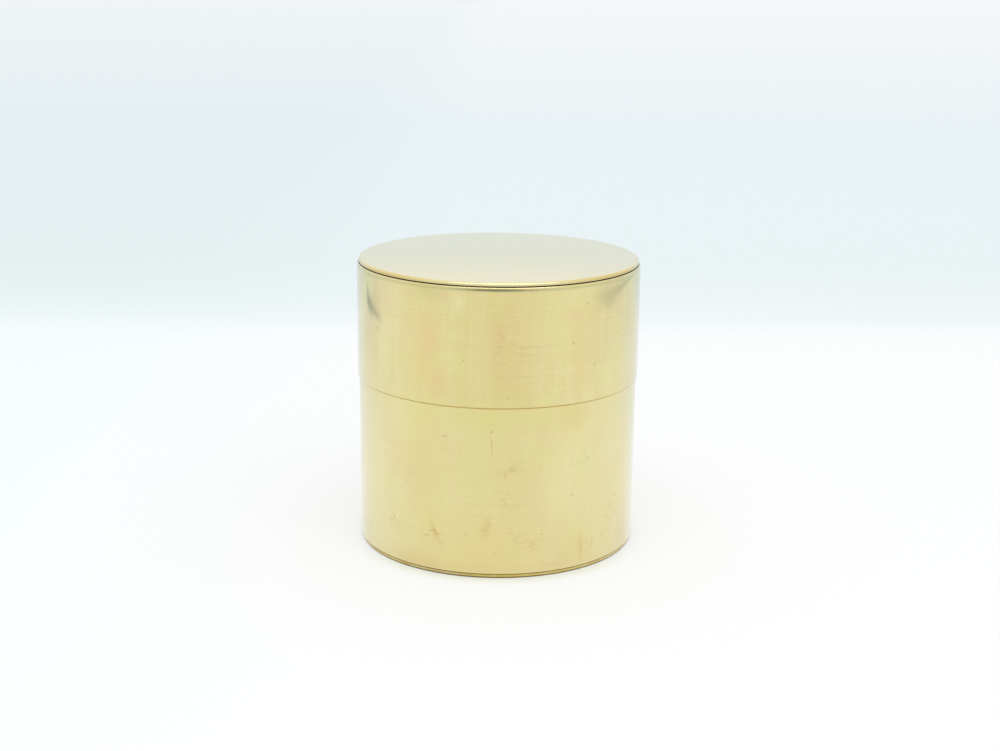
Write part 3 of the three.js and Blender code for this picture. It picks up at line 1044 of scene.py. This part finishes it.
lidWall = {
    "node": "lid_wall",
    "sheet": 0.5 * mm,
    "outerRound": 0.15 * mm,
    "innerRound": 0.06 * mm,
    "shoulder": (0.45 * mm, 1.6 * mm),  # how far the upper end is drawn in, and over what height
    "slit": rolledSlit,
    "steps": 360,
}
lidRadius, lidFoot, lidEnd = reachOf("lid_wall")
shoulderLine = lidEnd / mm - 0.62  # height of the dark line, a painted reflection, in millimetres
lidLook = {
    "shift": (0.0, 0.0, 0.0),
    "radius": lidRadius,
    "body": tone(227, 216, 153),
    "rough": 0.19,
    "mottle": 0.9,
    "specks": 0.5,
    # painted shade in the groove below the lid's top, and faintly along the lid's lower edge, above
    # the gap
    "paintedShade": (
        shadeLine(lidEnd + 0.03 * mm, 0.07, 0.95, 40.0),
        shadeLine(lidFoot, 0.26, 0.2, 40.0),
    ),
    "marks": (
        mark(0, shoulderLine, 9, 0.25, 0, umber, 1.5),  # painted reflection: a dark line below the shoulder, in front, with a fainter, wider one
        mark(0, shoulderLine, 30, 0.4, 0, shade, 0.4),
        mark(-28.0, 80.5, 5.0, 2.6, 0, shade, 0.45),
        mark(-56.5, 74.0, 3.4, 4.5, 0, tan, 0.55),
        mark(-61.0, 66.5, 4.0, 8.0, 0, tan, 0.3),
        mark(-30, 64, 6, 20, 0, straw, 0.6),
        mark(40, 75, 5, 5, 0, straw, 0.3),
        mark(35, 57, 5, 8, 0, straw, 0.35),
        mark(33, 66, 5, 9, 0, straw, 0.35),
        mark(45.0, 66.0, 7.0, 10.0, 0, tan, 0.25),
        mark(-62.9, 76.4, 0.6, 2.4, 6, darkOlive, 0.75),  # a dark patch that curves down to the right
        mark(-61.9, 74.3, 1.2, 1.8, 14, darkOlive, 0.9),
        mark(-60.0, 72.8, 1.8, 2.0, 40, darkOlive, 0.75),
        mark(-56.0, 71.4, 1.2, 3.0, 62, darkOlive, 0.5),
        mark(-54.3, 67.4, 1.0, 0.8, 0, darkOlive, 0.22),
        mark(46.5, 78.4, 4.8, 3.0, 0, shade, 0.6),  # a paler patch that fans out to the left
        mark(48.4, 76.8, 2.8, 2.6, 0, shade, 0.45),
        mark(54.5, 79.4, 4.0, 1.4, 16, shade, 0.75),
        mark(61.0, 80.6, 0.5, 3.2, -76, darkOlive, 0.5),
        mark(36.2, 77.0, 0.25, 0.3, 0, brown, 0.6),
        mark(30.1, 66.5, 0.22, 0.4, 30, brown, 0.5),
        mark(40.5, 59.3, 0.25, 0.25, 0, brown, 0.5),
        mark(46, 60.2, 4.2, 0.4, 4, brown, 0.4, 1.0),
        mark(10.5, 65.2, 3.4, 1.6, -16, brown, 0.26, 1.0),
        mark(1.0, 67.0, 4.2, 8.5, 0, blush, 0.45),
        mark(1.5, 66.0, 4.4, 9.0, 0, brown, 0.16, 1.0),
        mark(4.2, 57.0, 2.6, 3.5, 0, blush, 0.3),
        mark(-21.1, 80.0, 1.4, 1.2, 0, blush, 0.5),
        mark(-26.7, 68.0, 2.2, 7.0, 0, blush, 0.5),
        mark(-24.0, 54.6, 2.4, 3.6, 0, blush, 0.5),
        mark(30.4, 73.9, 2.6, 1.6, 0, blush, 0.45),
        mark(-14.5, 78.6, 2.4, 2.4, 0, brass["pale"], 0.5),
        mark(11.5, 78.0, 3.5, 4.0, 0, brass["green"], 0.4),
        mark(0, lidFoot / mm, 400, 0.25, 0, amber, 0.7),  # painted shade of the gap at its foot, a warm dark gold
    ),
}


# lid wall: rounded lower edge, and the upper end drawn in by a quarter ellipse to a narrow land
def lidWallProfile(spec):
    radius, low, high = reachOf(spec["node"])
    inner = radius - spec["sheet"]
    soft, fine = spec["outerRound"], spec["innerRound"]
    across, rise = spec["shoulder"]
    return profileOf(
        arc(inner + fine, low + fine, fine, fine, 180, 270, 4),
        arc(radius - soft, low + soft, soft, soft, 270, 360),
        arc(radius - across, high - rise, across, rise, 0, 90, 20),
        (inner, high),
    )


turnedPiece("lidWall", lidWall, lidWallProfile(lidWall), brassSheet("lidBrass", lidLook))
solderStrip("lidSeam", seamSpec("lid_seam"), lidWall, solderLine)

lidLiner = {
    "node": "lid_liner",
    "sheet": 0.3 * mm,
    "outerRound": 0.1 * mm,
    "innerRound": 0.1 * mm,
    "slit": rolledSlit,
    "steps": 360,
}
# painted shade darkens the liner where it shows in the groove above the lid's wall
linerTin = tinnedSheet("linerTin", tinned, (0.3, 0.3, 0.1), 0.6, lidEnd)
turnedPiece("lidLiner", lidLiner, tubeProfile(lidLiner), linerTin)
solderStrip("linerSeam", seamSpec("liner_seam"), lidLiner, solderLine)


# lid top

lidTop = {
    "node": "lid_top",
    "sheet": 0.5 * mm,
    "corner": 0.7 * mm,
    "rimSoft": 0.12 * mm,
    "collarInset": 0.55 * mm,
    "collar": 3 * mm,
    "crown": 0.25 * mm,
    "fillet": 0.4 * mm,
    "points": 60,
    "steps": 360,
}
topRim, topFoot = reachOf("lid_top")[:2]
topSeat = topFoot + lidTop["collar"]
topLook = {
    "shift": (0.7, 0.4, 0.0),
    "body": brass["body"],
    "rough": 0.12,
    "mottle": 0.35,
    "specks": 0.3,
    "edge": (topRim - 1.5 * mm, topRim - 0.1 * mm),  # painted reflection: the rounding is tinted gold, paler in front and deeper at the sides
    # painted shade in the groove where the top sits on the wall, and fainter on the rim's lower face
    "paintedShade": (
        shadeLine(topSeat - 0.03 * mm, 0.15, 0.95, 39.0),
        shadeLine(topSeat + 0.15 * mm, 0.45, 0.14, 39.0),
    ),
    "marks": (),
}


# lid top: upright face, round corner and crown, z = edge + crown (1 - (r / R) squared); below them
# the collar that fits in the liner
def lidTopProfile(spec):
    rim, low, high = reachOf(spec["node"])
    sheet, soft, fillet = spec["sheet"], spec["rimSoft"], spec["fillet"]
    corner = spec["corner"]
    edge = high - spec["crown"]
    seat = low + spec["collar"]
    collar = rim - spec["collarInset"]
    inner = collar - sheet
    flat = rim - corner
    underRim = inner - fillet
    under = np.linspace(0, underRim, spec["points"])
    over = np.linspace(flat, 0, spec["points"] + 1)
    return profileOf(
        np.column_stack((under, edge - sheet + spec["crown"] * (1 - (under / underRim) ** 2))),
        arc(underRim, edge - sheet - fillet, fillet, fillet, 90, 0),
        arc(inner + soft, low + soft, soft, soft, 180, 270, 5),
        arc(collar - soft, low + soft, soft, soft, 270, 360, 5),
        (collar, seat),
        arc(rim - soft, seat + soft, soft, soft, -90, 0),
        arc(flat, edge - corner, corner, corner, 0, 90, 24),
        np.column_stack((over, edge + spec["crown"] * (1 - (over / flat) ** 2))),
    )


turnedPiece("lidTop", lidTop, lidTopProfile(lidTop), brassSheet("topBrass", topLook))
